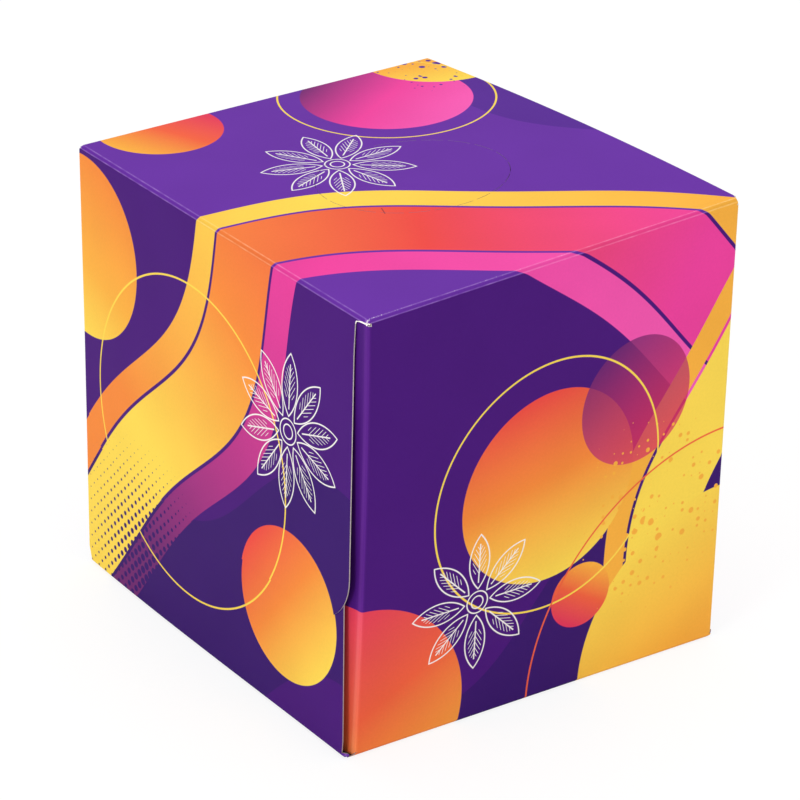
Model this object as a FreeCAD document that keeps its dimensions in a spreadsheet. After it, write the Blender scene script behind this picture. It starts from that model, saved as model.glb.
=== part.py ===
import FreeCAD, Part
import math
import os
import Sketcher

# Cube-shaped folding carton, filled and sealed.
# Four panels are wrapped round the X axis; each end is closed by two dust flaps, a bottom flap
# and a top flap glued over it. The top panel has a perforated oval that tears out.
# Millimetres, +Z up, the origin in the middle of the face that it stands on.
SIZES = {
    "carton_length": 114,
    "carton_depth": 126,
    "carton_height": 121,
    "board": 0.4,
    "crease_bevel": 1.0,
    "flap_lift": 1.2,
    "flap_inset": 2.8,
    "top_flap_reach": 85,
    "top_flap_corner": 15,
    "bottom_flap_reach": 72,
    "bottom_flap_inset": 2.4,
    "bottom_flap_taper": 2.0,
    "free_margin": 6.0,
    "dust_flap_reach": 42,
    "dust_flap_taper": 14.0,
    "corner_hole_depth": 3.0,
    "oval_length": 52,
    "oval_width": 43,
    "oval_shift_x": 1.0,
    "oval_shift_y": -3.0,
    "slit_width": 0.25,
    "nick_width": 1.2,
    "nick_pairs": 11,
    "tear_start_length": 3.4,
    "tear_start_angle": -139,
    "tear_start_heading": 69,
}

# Formulas of the sheet that several outlines share
HALF_DEPTH = "sizes.carton_depth / 2"
TOP = "sizes.carton_height"
BOARD = "sizes.board"
BEVEL = "sizes.crease_bevel"
OUTER_FACE = "sizes.carton_length / 2"
INNER_FACE = "(sizes.carton_length / 2 - sizes.board)"
DUST_FACE = "(sizes.carton_length / 2 - 2 * sizes.board - sizes.flap_lift)"
FLAP_HALF = "(sizes.carton_depth / 2 - sizes.flap_inset)"
BOTTOM_HALF = "(sizes.carton_depth / 2 - sizes.bottom_flap_inset)"
# A board bent by half a right angle is this much shorter inside, for each unit of its thickness
BEND = "tan(22.5 deg)"


def make_sheet(doc):
    """One row for each driving dimension, with its name as the alias."""
    sheet = doc.addObject("Spreadsheet::Sheet", "sizes")
    for row, (name, value) in enumerate(SIZES.items(), start=1):
        sheet.set(f"A{row}", name)
        sheet.set(f"B{row}", str(value))
        sheet.setAlias(f"B{row}", name)
    doc.recompute()
    return sheet


def make_sketch(body, name, plane, offset=None):
    """A sketch on one of the body's origin planes, moved along its normal by a formula."""
    sketch = body.newObject("Sketcher::SketchObject", name)
    support = next(item for item in body.Origin.OriginFeatures if item.Role == plane)
    sketch.AttachmentSupport = [(support, "")]
    sketch.MapMode = "FlatFace"
    if offset:
        sketch.setExpression("AttachmentOffset.Base.z", offset)
    return sketch


def bind(sketch, kind, formula, *ends):
    """A dimension of the sketch that follows a formula of the sheet."""
    index = sketch.addConstraint(Sketcher.Constraint(kind, *ends, 1.0))
    sketch.setExpression(f"Constraints[{index}]", formula)


def add_outline(sketch, corners):
    """A closed outline of straight edges; each corner is a pair of formulas."""
    first = sketch.GeometryCount
    count = len(corners)
    ring = [FreeCAD.Vector(math.cos(math.tau * i / count), math.sin(math.tau * i / count), 0)
            for i in range(count)]
    for i in range(count):
        sketch.addGeometry(Part.LineSegment(ring[i], ring[(i + 1) % count]))
    for i in range(count):
        following = first + (i + 1) % count
        sketch.addConstraint(Sketcher.Constraint("Coincident", first + i, 2, following, 1))
    for i, (across, up) in enumerate(corners):
        bind(sketch, "DistanceX", across, -1, 1, first + i, 1)
        bind(sketch, "DistanceY", up, -1, 1, first + i, 1)


def rectangle(half_width, low, high):
    """The corners of a rectangle that is centred on the sketch's upright axis."""
    return [(f"-{half_width}", low), (half_width, low), (half_width, high), (f"-{half_width}", high)]


def make_pad(body, name, sketch, length, symmetric=False):
    """A pad whose length is a formula, to one side of its sketch or to both."""
    pad = body.newObject("PartDesign::Pad", name)
    pad.Profile = sketch
    pad.setExpression("Length", length)
    pad.SideType = "Symmetric" if symmetric else "One side"
    return pad


def make_wrap(body):
    """The wrapped panels, filled, up to the dust flaps: a rectangle with its creases bevelled.

    Along the lower back edge the back panel ends in a cut edge over the glued seam.
    """
    sketch = make_sketch(body, "wrap_section", "YZ_Plane")
    seam = f"{HALF_DEPTH} - {BOARD}"
    add_outline(sketch, [
        (f"-{HALF_DEPTH}", BEVEL),
        (f"-{HALF_DEPTH} + {BEVEL}", "0"),
        (f"{seam} - {BEVEL}", "0"),
        (seam, BEVEL),
        (HALF_DEPTH, BEVEL),
        (HALF_DEPTH, f"{TOP} - {BEVEL}"),
        (f"{HALF_DEPTH} - {BEVEL}", TOP),
        (f"-{HALF_DEPTH} + {BEVEL}", TOP),
        (f"-{HALF_DEPTH}", f"{TOP} - {BEVEL}"),
    ])
    make_pad(body, "wrap", sketch, f"2 * {DUST_FACE}", symmetric=True)


def make_panel_ends(body):
    """The cut ends of the top and bottom panels, which overhang the dust flaps."""
    half = f"({HALF_DEPTH} - {BOARD} - {BEVEL})"
    sketch = make_sketch(body, "panel_ends_section", "YZ_Plane")
    add_outline(sketch, rectangle(half, f"{TOP} - {BOARD}", TOP))
    add_outline(sketch, rectangle(half, "0", BOARD))
    make_pad(body, "panel_ends", sketch, f"2 * ({OUTER_FACE} - {BEVEL})", symmetric=True)


def make_glued_core(body):
    """What lies behind the outer flaps, inside their free margins and between their bends."""
    half = f"({FLAP_HALF} - sizes.free_margin)"
    sketch = make_sketch(body, "glued_core_section", "YZ_Plane")
    add_outline(sketch, rectangle(half, f"2 * {BEVEL}", f"{TOP} - 2 * {BEVEL}"))
    make_pad(body, "glued_core", sketch, f"2 * {INNER_FACE}", symmetric=True)


def make_bottom_flap(body):
    """The bottom flap: a plate that narrows upwards, under the top flap."""
    tip = f"({BOTTOM_HALF} - sizes.bottom_flap_reach * tan(sizes.bottom_flap_taper * 1 deg))"
    root = f"({BOTTOM_HALF} - {BEVEL} * tan(sizes.bottom_flap_taper * 1 deg))"
    reach = "sizes.bottom_flap_reach"
    sketch = make_sketch(body, "bottom_flap_outline", "YZ_Plane", f"{INNER_FACE} - {BOARD}")
    add_outline(sketch, [(f"-{root}", BEVEL), (root, BEVEL), (tip, reach), (f"-{tip}", reach)])
    return make_pad(body, "bottom_flap", sketch, BOARD)


def make_top_flap(body, sheet):
    """The top flap: a plate with two round lower corners, the outermost of the end."""
    half = sheet.carton_depth / 2 - sheet.flap_inset
    high = sheet.carton_height - sheet.crease_bevel
    low = sheet.carton_height - sheet.top_flap_reach
    radius = sheet.top_flap_corner
    point = FreeCAD.Vector
    sketch = make_sketch(body, "top_flap_outline", "YZ_Plane", INNER_FACE)
    right = Part.Circle(point(half - radius, low + radius, 0), point(0, 0, 1), radius)
    left = Part.Circle(point(radius - half, low + radius, 0), point(0, 0, 1), radius)
    sketch.addGeometry(Part.LineSegment(point(half, high, 0), point(-half, high, 0)))
    sketch.addGeometry(Part.LineSegment(point(-half, high, 0), point(-half, low + radius, 0)))
    sketch.addGeometry(Part.ArcOfCircle(left, math.pi, 1.5 * math.pi))
    sketch.addGeometry(Part.LineSegment(point(radius - half, low, 0), point(half - radius, low, 0)))
    sketch.addGeometry(Part.ArcOfCircle(right, 1.5 * math.pi, 2 * math.pi))
    sketch.addGeometry(Part.LineSegment(point(half, low + radius, 0), point(half, high, 0)))
    for first, second in ((0, 1), (5, 0)):
        sketch.addConstraint(Sketcher.Constraint("Coincident", first, 2, second, 1))
    for first, second in ((1, 2), (2, 3), (3, 4), (4, 5)):
        sketch.addConstraint(Sketcher.Constraint("Tangent", first, 2, second, 1))
    for upright in (1, 5):
        sketch.addConstraint(Sketcher.Constraint("Vertical", upright))
    for level in (0, 3):
        sketch.addConstraint(Sketcher.Constraint("Horizontal", level))
    sketch.addConstraint(Sketcher.Constraint("Equal", 2, 4))
    bind(sketch, "Radius", "sizes.top_flap_corner", 2)
    bind(sketch, "DistanceX", f"-{FLAP_HALF}", -1, 1, 0, 2)
    bind(sketch, "DistanceX", FLAP_HALF, -1, 1, 0, 1)
    bind(sketch, "DistanceY", f"{TOP} - {BEVEL}", -1, 1, 0, 1)
    bind(sketch, "DistanceY", f"{TOP} - sizes.top_flap_reach", -1, 1, 3, 1)
    return make_pad(body, "top_flap", sketch, BOARD)


def make_top_bend(body):
    """The scored crease from the top panel to the top flap: board of even thickness, bent twice."""
    sketch = make_sketch(body, "top_bend_section", "XZ_Plane")
    add_outline(sketch, [
        (DUST_FACE, TOP),
        (f"{OUTER_FACE} - {BEVEL}", TOP),
        (OUTER_FACE, f"{TOP} - {BEVEL}"),
        (OUTER_FACE, f"{TOP} - 2 * {BEVEL}"),
        (INNER_FACE, f"{TOP} - 2 * {BEVEL}"),
        (INNER_FACE, f"{TOP} - {BEVEL} - {BOARD} * {BEND}"),
        (f"{OUTER_FACE} - {BEVEL} - {BOARD} * {BEND}", f"{TOP} - {BOARD}"),
        (DUST_FACE, f"{TOP} - {BOARD}"),
    ])
    return make_pad(body, "top_bend", sketch, f"2 * {FLAP_HALF}", symmetric=True)


def make_bottom_bend(body):
    """The crease from the bottom panel to the bottom flap, one board further in."""
    sketch = make_sketch(body, "bottom_bend_section", "XZ_Plane")
    add_outline(sketch, [
        (DUST_FACE, "0"),
        (f"{INNER_FACE} - {BEVEL}", "0"),
        (INNER_FACE, BEVEL),
        (INNER_FACE, f"2 * {BEVEL}"),
        (f"{INNER_FACE} - {BOARD}", f"2 * {BEVEL}"),
        (f"{INNER_FACE} - {BOARD}", f"{BEVEL} + {BOARD} * {BEND}"),
        (f"{INNER_FACE} - {BEVEL} - {BOARD} * {BEND}", BOARD),
        (DUST_FACE, BOARD),
    ])
    return make_pad(body, "bottom_bend", sketch, f"2 * {BOTTOM_HALF}", symmetric=True)


def make_corner_holes(body):
    """The narrow holes at the corners, between a dust flap's slanted edge and the panel by it."""
    start = f"({HALF_DEPTH} - {BEVEL})"
    end = f"({HALF_DEPTH} - sizes.dust_flap_reach)"
    drop = "sizes.dust_flap_reach * tan(sizes.dust_flap_taper * 1 deg)"
    sketch = make_sketch(body, "corner_holes_outline", "YZ_Plane", DUST_FACE)
    for side in ("-", ""):
        add_outline(sketch, [(side + start, BOARD), (side + end, BOARD), (side + end, f"{BOARD} + {drop}")])
        high = f"{TOP} - {BOARD}"
        add_outline(sketch, [(side + start, high), (side + end, high), (side + end, f"{high} - {drop}")])
    pocket = body.newObject("PartDesign::Pocket", "corner_holes")
    pocket.Profile = sketch
    pocket.SideType = "One side"
    pocket.setExpression("Length", "sizes.corner_hole_depth")
    return pocket


def mirror_end(body, features):
    """The other end is closed the same way, so its features are mirrored."""
    mirror = body.newObject("PartDesign::Mirrored", "far_end")
    mirror.Originals = features
    plane = next(item for item in body.Origin.OriginFeatures if item.Role == "YZ_Plane")
    mirror.MirrorPlane = (plane, [""])
    body.Tip = mirror


def make_oval(doc, name, sign):
    """An upright oval plug, half a slit wider or narrower than the perforation's middle line."""
    edge = doc.addObject("Part::Ellipse", f"{name}_edge")
    edge.setExpression("MajorRadius", f"sizes.oval_length / 2 {sign} sizes.slit_width / 2")
    edge.setExpression("MinorRadius", f"sizes.oval_width / 2 {sign} sizes.slit_width / 2")
    plug = doc.addObject("Part::Extrusion", name)
    plug.Base = edge
    plug.Dir = FreeCAD.Vector(0, 0, 1)
    plug.DirMode = "Custom"
    plug.Solid = True
    plug.setExpression("LengthFwd", "2 * sizes.board")
    return plug


def make_nick_bars(doc, sheet):
    """Thin bars across the oval: where they cross its line, the board is left uncut."""
    bars = []
    for number in range(int(sheet.nick_pairs)):
        bar = doc.addObject("Part::Box", f"nick_bar_{number + 1}")
        bar.setExpression("Length", "sizes.oval_length + 2 * sizes.nick_width")
        bar.setExpression("Width", "sizes.nick_width")
        bar.setExpression("Height", "2 * sizes.board")
        turn = f"{number} * 180 / sizes.nick_pairs"
        bar.setExpression("Placement.Rotation.Yaw", turn)
        half_long = "(sizes.oval_length / 2 + sizes.nick_width)"
        half_wide = "sizes.nick_width / 2"
        bar.setExpression(
            "Placement.Base.x",
            f"{half_wide} * sin({turn} * 1 deg) - {half_long} * cos({turn} * 1 deg)")
        bar.setExpression(
            "Placement.Base.y",
            f"-{half_wide} * cos({turn} * 1 deg) - {half_long} * sin({turn} * 1 deg)")
        bars.append(bar)
    group = doc.addObject("Part::MultiFuse", "nick_bars")
    group.Shapes = bars
    return group


def make_tear_start(doc):
    """A short slit inside the oval that meets its line, where the tearing starts."""
    slit = doc.addObject("Part::Box", "tear_start")
    slit.setExpression("Length", "sizes.tear_start_length")
    slit.setExpression("Width", "sizes.slit_width")
    slit.setExpression("Height", "2 * sizes.board")
    slit.setExpression("Placement.Rotation.Yaw", "sizes.tear_start_heading")
    slit.setExpression(
        "Placement.Base.x", "sizes.oval_length / 2 * cos(sizes.tear_start_angle * 1 deg)")
    slit.setExpression(
        "Placement.Base.y", "sizes.oval_width / 2 * sin(sizes.tear_start_angle * 1 deg)")
    return slit


def cut(doc, name, base, tool):
    """One shape less another."""
    result = doc.addObject("Part::Cut", name)
    result.Base = base
    result.Tool = tool
    return result


def make_perforation(doc, sheet):
    """The oval's line of slits, cut through the top board, with its short tear start."""
    ring = cut(doc, "oval_ring", make_oval(doc, "oval_outside", "+"), make_oval(doc, "oval_inside", "-"))
    slits = cut(doc, "oval_slits", ring, make_nick_bars(doc, sheet))
    perforation = doc.addObject("Part::Fuse", "perforation")
    perforation.Base = slits
    perforation.Tool = make_tear_start(doc)
    perforation.setExpression("Placement.Base.x", "sizes.oval_shift_x")
    perforation.setExpression("Placement.Base.y", "sizes.oval_shift_y")
    perforation.setExpression("Placement.Base.z", f"{TOP} - {BOARD}")
    return perforation


def make_carton(doc, sheet):
    """The folded carton, from its wrapped panels to its glued ends and its perforation."""
    body = doc.addObject("PartDesign::Body", "folded_board")
    doc.recompute()
    make_wrap(body)
    make_panel_ends(body)
    make_glued_core(body)
    near_end = [
        make_bottom_flap(body),
        make_top_flap(body, sheet),
        make_top_bend(body),
        make_bottom_bend(body),
        make_corner_holes(body),
    ]
    doc.recompute()
    mirror_end(body, near_end)
    doc.recompute()
    carton = cut(doc, "tissue_carton", body, make_perforation(doc, sheet))
    carton.Label = "tissue_carton"
    carton.Placement = FreeCAD.Placement()
    return carton


def check(doc, parts):
    """Stop on a failed object, or on a part that is empty, invalid or in pieces."""
    for item in doc.Objects:
        if "Invalid" in item.State or "Error" in item.State:
            raise RuntimeError(f"{item.Name} did not rebuild: {item.State}")
    for part in parts:
        if part.Shape.isNull() or not part.Shape.isValid() or len(part.Shape.Solids) != 1:
            raise RuntimeError(f"{part.Label} is not one valid solid")


def main():
    doc = FreeCAD.newDocument("tissue_carton")
    sheet = make_sheet(doc)
    parts = [make_carton(doc, sheet)]
    doc.recompute()
    check(doc, parts)
    os.makedirs("parts", exist_ok=True)
    for part in parts:
        part.Shape.exportStep(os.path.join("parts", part.Label + ".step"))
        box = part.Shape.BoundBox
        print(part.Label, "volume", round(part.Shape.Volume), "x", round(box.XMin, 2), round(box.XMax, 2),
              "y", round(box.YMin, 2), round(box.YMax, 2), "z", round(box.ZMin, 2), round(box.ZMax, 2))


main()
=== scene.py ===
import math

import bmesh
import bpy
import numpy as np
from mathutils import Matrix, Vector


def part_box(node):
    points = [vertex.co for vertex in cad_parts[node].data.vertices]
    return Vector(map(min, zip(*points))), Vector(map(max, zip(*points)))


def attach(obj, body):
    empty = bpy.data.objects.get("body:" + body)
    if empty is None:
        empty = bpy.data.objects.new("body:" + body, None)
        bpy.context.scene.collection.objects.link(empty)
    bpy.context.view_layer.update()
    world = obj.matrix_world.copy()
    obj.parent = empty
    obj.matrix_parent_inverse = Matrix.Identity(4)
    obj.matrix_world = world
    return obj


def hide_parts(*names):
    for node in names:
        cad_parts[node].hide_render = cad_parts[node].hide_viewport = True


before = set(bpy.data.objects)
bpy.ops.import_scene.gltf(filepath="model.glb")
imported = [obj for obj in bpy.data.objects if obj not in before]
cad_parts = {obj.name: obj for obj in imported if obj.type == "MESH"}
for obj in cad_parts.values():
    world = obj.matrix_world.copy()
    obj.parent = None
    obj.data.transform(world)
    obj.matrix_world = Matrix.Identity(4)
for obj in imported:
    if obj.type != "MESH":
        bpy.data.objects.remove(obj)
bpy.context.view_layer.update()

# Sealed cube-shaped tissue carton: printed, satin-varnished folding board with glued ends.
# Shapes are worked out in millimetres and put into the meshes in metres.
MM = 0.001
NODE = "tissue_carton"
box_low, box_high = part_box(NODE)
HALF_LENGTH = (box_high.x - box_low.x) / 2 / MM
HALF_DEPTH = (box_high.y - box_low.y) / 2 / MM
HEIGHT = box_high.z / MM

# The board and its creases, as in the frame's model; a bevel is given along the old and the new direction
BOARD = 0.28
TOP_BEVEL = (1.0, 1.0)
FLAP_BEVEL = (1.0, 0.75)
LOW_BEVEL = (1.0, 1.0)
DUST_BEVEL = (0.35, 1.1)
TOP_REACH = 85.0
TOP_CORNER = 15.0
BOTTOM_REACH = 72.0
DUST_REACH = 42.0
DUST_TAPER = 14.0
DUST_TAPER_START = 4.0
DUST_ENDS = (0.45, 1.0)
GLUE_REACH = 12.0
GLUE_INSET = 2.0
LAYER_GAP = 0.03
SAME = 0.005
MERGE = 0.002
SHARP_ANGLE = 30.0

# The longest cell of a grid, and how many steps a rounded flap corner and a crushed corner have
COARSE = 3.4
ROUND_STEPS = 12
SHOULDER_STEPS = 6

# How far the flaps stand in from the side creases: at the base's level, and for each millimetre above
SEEN_INSET = (-0.7, 0.045)
PLAIN_INSET = (2.8, 0.0)
WIDEST_INSET = 4.3
FAR_INSET = (2.1, -0.0125)
BOTTOM_INSET = (1.1, 0.06)
BOTTOM_FAR_INSET = 0.7

# How fast a top flap's edges sweep in below its crease, how much sooner the hidden flap's crease ends
# at the near corner, how far round a bottom corner's board goes and how much it bulges, and the power
# that sharpens the far top corners
EDGE_SWEEP = 0.3
FAR_SWEEP = 0.15
CORNER_NOTCH = 0.85
LOW_SHOULDER = 76.0
LOW_LIFT = 0.3
SHARP_POWER = 0.5

# How far the dust flaps lie behind the top flap: most at one level, least at the top
DUST_GAP = 2.9
DUST_GAP_LEVEL = 13.0
DUST_GAP_TOP = 0.45
DUST_GAP_PLAIN = 0.95

# Past its crease a dust flap springs out again by this slope, until it nearly meets the bottom flap
DUST_LEAN = 0.32
DUST_REST = 0.75

# The perforated oval of the top panel, and the rings inside it as shares of its radius
OVAL = (26.0, 21.5)
OVAL_RINGS = (0.97, 0.85, 0.65, 0.45, 0.25, 0.1, 0.0)
OVAL_PLACE = (1.0, -3.0)
SLIT = 0.13
NICK = 1.2
CELLS_A_NICK = 4
WINDOW_CELL = 2.4
WINDOW_CELLS = (24, 20)
NICKS = 2 * sum(WINDOW_CELLS) // CELLS_A_NICK

# How this carton lies: its corners out of square, its panels crowned, two creases bowed
CORNER_SHIFTS = {
    (-1, 1, 1): (0.7, -0.5, -0.3),
    (1, 1, 1): (-1.2, 0.9, 0.0),
    (1, -1, 1): (1.2, 0.1, 2.3),
    (-1, -1, 1): (0.5, -1.0, -1.2),
    (1, -1, -1): (-0.3, -1.9, 0.0),
    (-1, -1, -1): (-1.0, 3.6, 0.0),
    (-1, 1, -1): (0.0, -1.1, 0.0),
}
CROWN_TOP = 0.35
CROWN_SIDE = 0.5
EDGE_BOW = (0.35, 1.2)
HEEL_BOW = 0.58
HEEL_LEAN = 0.8

# The torn fibres at the near top corner: three points of each parabola from that corner, and a radius
FIBRES = (
    ((-0.05, 3.95, -2.1), (-0.1, 3.85, -1.0), (-0.1, 2.9, -0.95), 0.11),
    ((-0.1, 3.2, -0.98), (-0.2, 1.4, -0.42), (-0.1, 0.1, -0.58), 0.12),
    ((-0.05, 0.5, -0.5), (0.1, -0.15, -0.6), (0.3, -0.15, -0.62), 0.12),
    ((0.1, -0.1, -0.6), (-0.02, -0.15, -0.7), (-0.1, -0.15, -0.88), 0.13),
    ((0.12, -0.05, -0.5), (0.12, -0.12, -0.1), (0.14, 0.0, 0.18), 0.08),
    ((0.25, -0.15, -0.66), (0.75, -0.2, -0.3), (1.0, -0.15, -1.2), 0.1),
)
FIBRE_STEPS = 9
FIBRE_SIDES = 10
FIBRE_ASIDE = (0.3, 0.2, 0.9)
# How brightly the loose fibres glow: painted light
FIBRE_LIT = 0.35

# The camera: lens and place found from the carton's seven visible corners
LENS = 150.2
CAMERA_PLACE = (-461.0, -621.0, 441.5)
CAMERA_AZIMUTH = -36.654
CAMERA_ELEVATION = 26.371
CAMERA_ROLL = 1.168

# The studio, in metres and watts: each lamp's name, place, size and power; the floor's size and level
LAMPS = (
    ("overhead", (0.1, 0.2, 1.6), 1.6, 13.6),
    ("left_of_camera", (-1.78, -0.6, 0.7), 0.5, 13.4),
    ("right_of_camera", (0.2, -1.8, 0.7), 0.8, 4.7),
)
WORLD_LEVEL = 0.5
FLOOR_HALF = 6.0
FLOOR_DROP = 0.00003
FLOOR_EMIT = 0.8


def spaced(start, end, step):
    """Even positions from start to end, no further apart than the step."""
    count = max(1, math.ceil(abs(end - start) / step))
    return np.linspace(start, end, count + 1)


def joined(*runs):
    """Runs of positions end to end, each shared end kept once."""
    return np.concatenate([runs[0]] + [run[1:] for run in runs[1:]])


def dust_gap(z, side):
    """How far a dust flap lies behind the top flap's face: at the seen end a parabola over the height."""
    share = (z - DUST_GAP_LEVEL) / (HEIGHT - DUST_GAP_LEVEL)
    seen = DUST_GAP - (DUST_GAP - DUST_GAP_TOP) * share ** 2
    return np.where(side < 0, seen, DUST_GAP_PLAIN)


class Crease:
    """A crease of a right angle: a bevel with two rounded edges, and a short flat hold on each side.

    It holds each point's distance from the sharp corner along the board's old direction (along) and
    along its new one (across), and its distance on the flat sheet from the crease's middle (flat).
    The rows up to the cut row go on round the carton's corner.
    An edge that turns by an angle is an arc whose tangent length is its radius times the tangent of
    half the angle.
    """

    radius = 0.6
    steps = 4
    hold = 0.3

    def __init__(self, bevel, cut_row=0):
        first, second = bevel
        self.cut_row = cut_row
        slope = math.atan2(second, first)
        into = self.edge(slope)
        out = self.edge(math.pi / 2 - slope)
        along = np.concatenate([-first + into[0], -out[1][::-1]])
        across = np.concatenate([into[1], second - out[0][::-1]])
        self.along = np.concatenate([[along[0] - self.hold], along, [0]])
        self.across = np.concatenate([[0], across, [across[-1] + self.hold]])
        step = np.hypot(np.diff(self.along), np.diff(self.across))
        flat = np.concatenate([[0], np.cumsum(step)]) / step.sum()
        self.before = -self.along[0]
        self.after = self.across[-1]
        self.cut = self.across[self.cut_row]
        self.flat = -self.before + flat * (self.before + self.after)

    def edge(self, angle):
        """An arc that turns by an angle, from its start along the old direction: its two distances."""
        turn = np.linspace(0, angle, self.steps + 1)
        tangent = self.radius * math.tan(angle / 2)
        return self.radius * np.sin(turn) - tangent, self.radius * (1 - np.cos(turn))


TOP_CREASE = Crease(TOP_BEVEL, Crease.steps + 2)
FLAP_CREASE = Crease(FLAP_BEVEL, Crease.steps + 2)
LOW_CREASE = Crease(LOW_BEVEL, 2 * Crease.steps + 3)
DUST_CREASE = Crease(DUST_BEVEL)


def settle(points):
    """Places of a true box moved to where this carton's board lies.

    A place is moved by the shifts of the corners in proportion to how near it is to each, and
    pushed out by crowns that are highest at the middle of a panel and nothing at its creases: a cube
    across the panel times a parabola each way along it. The hidden end's upper crease and the seen
    end's lower one are bowed out by a parabola, which fades by squares away from them.
    """
    half = np.array([HALF_LENGTH, HALF_DEPTH, HEIGHT / 2])
    unit = (points - [0, 0, HEIGHT / 2]) / half
    moved = points.copy()
    for corner, shift in CORNER_SHIFTS.items():
        weight = np.prod((1 + unit * corner) / 2, axis=-1)
        moved = moved + weight[..., None] * np.array(shift)
    across, deep, high = np.moveaxis(unit, -1, 0)
    arch_x, arch_y, arch_z = (np.maximum(1 - value ** 2, 0) for value in (across, deep, high))
    moved[..., 0] += CROWN_SIDE * across ** 3 * arch_y * arch_z
    moved[..., 1] += CROWN_SIDE * deep ** 3 * arch_x * arch_z
    moved[..., 2] += CROWN_TOP * np.maximum(high, 0) ** 3 * arch_x * arch_y
    ridge = np.maximum(across, 0) ** 2 * np.maximum(high, 0) ** 2 * arch_y
    moved[..., 0] += EDGE_BOW[0] * ridge
    moved[..., 2] += EDGE_BOW[1] * ridge
    heel = np.maximum(-across, 0) ** 2 * np.maximum(-high, 0) ** 2 * arch_y * (1 + HEEL_LEAN * deep)
    moved[..., 0] -= HEEL_BOW * heel
    return moved


class Board:
    """Patches of folded board: grids of places, each with the place of its print on the flat sheet."""

    def __init__(self):
        self.points = []
        self.prints = []
        self.quads = []
        self.count = 0

    def add(self, x, y, z, u, v, outward, keep=None):
        """Add a grid; outward is 1 where its rows crossed with its columns point out, and else -1."""
        x, y, z, u, v = np.broadcast_arrays(x, y, z, u, v)
        rows, columns = x.shape
        index = self.count + np.arange(rows * columns).reshape(rows, columns)
        quads = np.stack([index[:-1, :-1], index[1:, :-1], index[1:, 1:], index[:-1, 1:]], axis=-1)
        if outward < 0:
            quads = quads[..., ::-1]
        if keep is not None:
            quads = quads[keep]
        self.points.append(np.stack([x, y, z], axis=-1).reshape(-1, 3))
        self.prints.append(np.stack([u, v], axis=-1).reshape(-1, 2))
        self.quads.append(quads.reshape(-1, 4))
        self.count += rows * columns

    def make_mesh(self, name):
        """One mesh of all patches, settled, with the print's places as its UV map, its edges merged."""
        points = settle(np.concatenate(self.points)) * MM
        prints = np.concatenate(self.prints) * MM
        quads = np.concatenate(self.quads)
        mesh = bpy.data.meshes.new(name)
        mesh.from_pydata(points, [], quads.tolist())
        layer = mesh.uv_layers.new(name="print")
        layer.data.foreach_set("uv", prints[quads.ravel()].ravel())
        work = bmesh.new()
        work.from_mesh(mesh)
        bmesh.ops.remove_doubles(work, verts=work.verts, dist=MM * MERGE)
        bmesh.ops.dissolve_degenerate(work, edges=work.edges, dist=MM * MERGE)
        work.to_mesh(mesh)
        work.free()
        return mesh


def window_lines(axis):
    """The grid lines of the window round the oval, on one axis of the top panel."""
    half = WINDOW_CELLS[axis] * WINDOW_CELL / 2
    return np.linspace(OVAL_PLACE[axis] - half, OVAL_PLACE[axis] + half, WINDOW_CELLS[axis] + 1)


def inset(rule, z):
    """How far a flap's edge stands in at a height: a straight line."""
    return rule[0] + rule[1] * z


# Where the flat stretches of the panels end, and where the inner layers lie
FLAT_TOP = HALF_DEPTH - TOP_CREASE.before
FLAT_LOW = HALF_DEPTH - LOW_CREASE.before
TOP_END = HALF_LENGTH - FLAP_CREASE.before
SEAM_FACE = HALF_DEPTH - BOARD - LAYER_GAP
BOTTOM_FACE = HALF_LENGTH - BOARD - LAYER_GAP
BOTTOM_END = BOTTOM_FACE - LOW_CREASE.before


def top_lines():
    """Positions across the depth of the top panel, from back to front, the window's among them."""
    window = window_lines(1)
    back, front = spaced(FLAT_TOP, window[-1], COARSE), spaced(window[0], -FLAT_TOP, COARSE)
    return joined(back, window[::-1], front)


def bottom_lines():
    """Positions across the depth of the bottom panel, from front to back."""
    return spaced(-FLAT_LOW, SEAM_FACE - LOW_CREASE.before, COARSE)


def upright_lines():
    """Heights of the flat part of a side panel, from the bottom up."""
    return spaced(LOW_CREASE.after, HEIGHT - TOP_CREASE.after, COARSE)


def wrap_section():
    """The wrapped panels' section: depth, height and place on the sheet.

    It starts at the back panel's lower cut edge, goes up the back, over the top, down the front,
    under the bottom, and ends at the top of the glue flap inside the back panel.
    """
    half, high = HALF_DEPTH, HEIGHT
    back = joined(np.array([BOARD, LOW_CREASE.after]), upright_lines())
    top = top_lines()
    front = upright_lines()[::-1]
    bottom = bottom_lines()
    glue = spaced(LOW_CREASE.after, GLUE_REACH, COARSE)
    seam = SEAM_FACE
    over, under = TOP_CREASE, LOW_CREASE
    same = np.ones_like
    depth = joined(
        half * same(back), half - over.across, top, -half - over.along,
        -half * same(front), -half + under.across, bottom, seam + under.along, seam * same(glue))
    height = joined(
        back, high + over.along, high * same(top), high - over.across,
        front, -under.along, 0 * bottom, under.across, glue)
    sheet = joined(
        half + high - back, half - over.flat, top, -half - over.flat,
        -half - high + front, -half - high - under.flat, -2 * half - high - bottom,
        -half - high - seam - half - under.flat, -half - high - seam - half - glue)
    return depth, height, sheet


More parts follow.
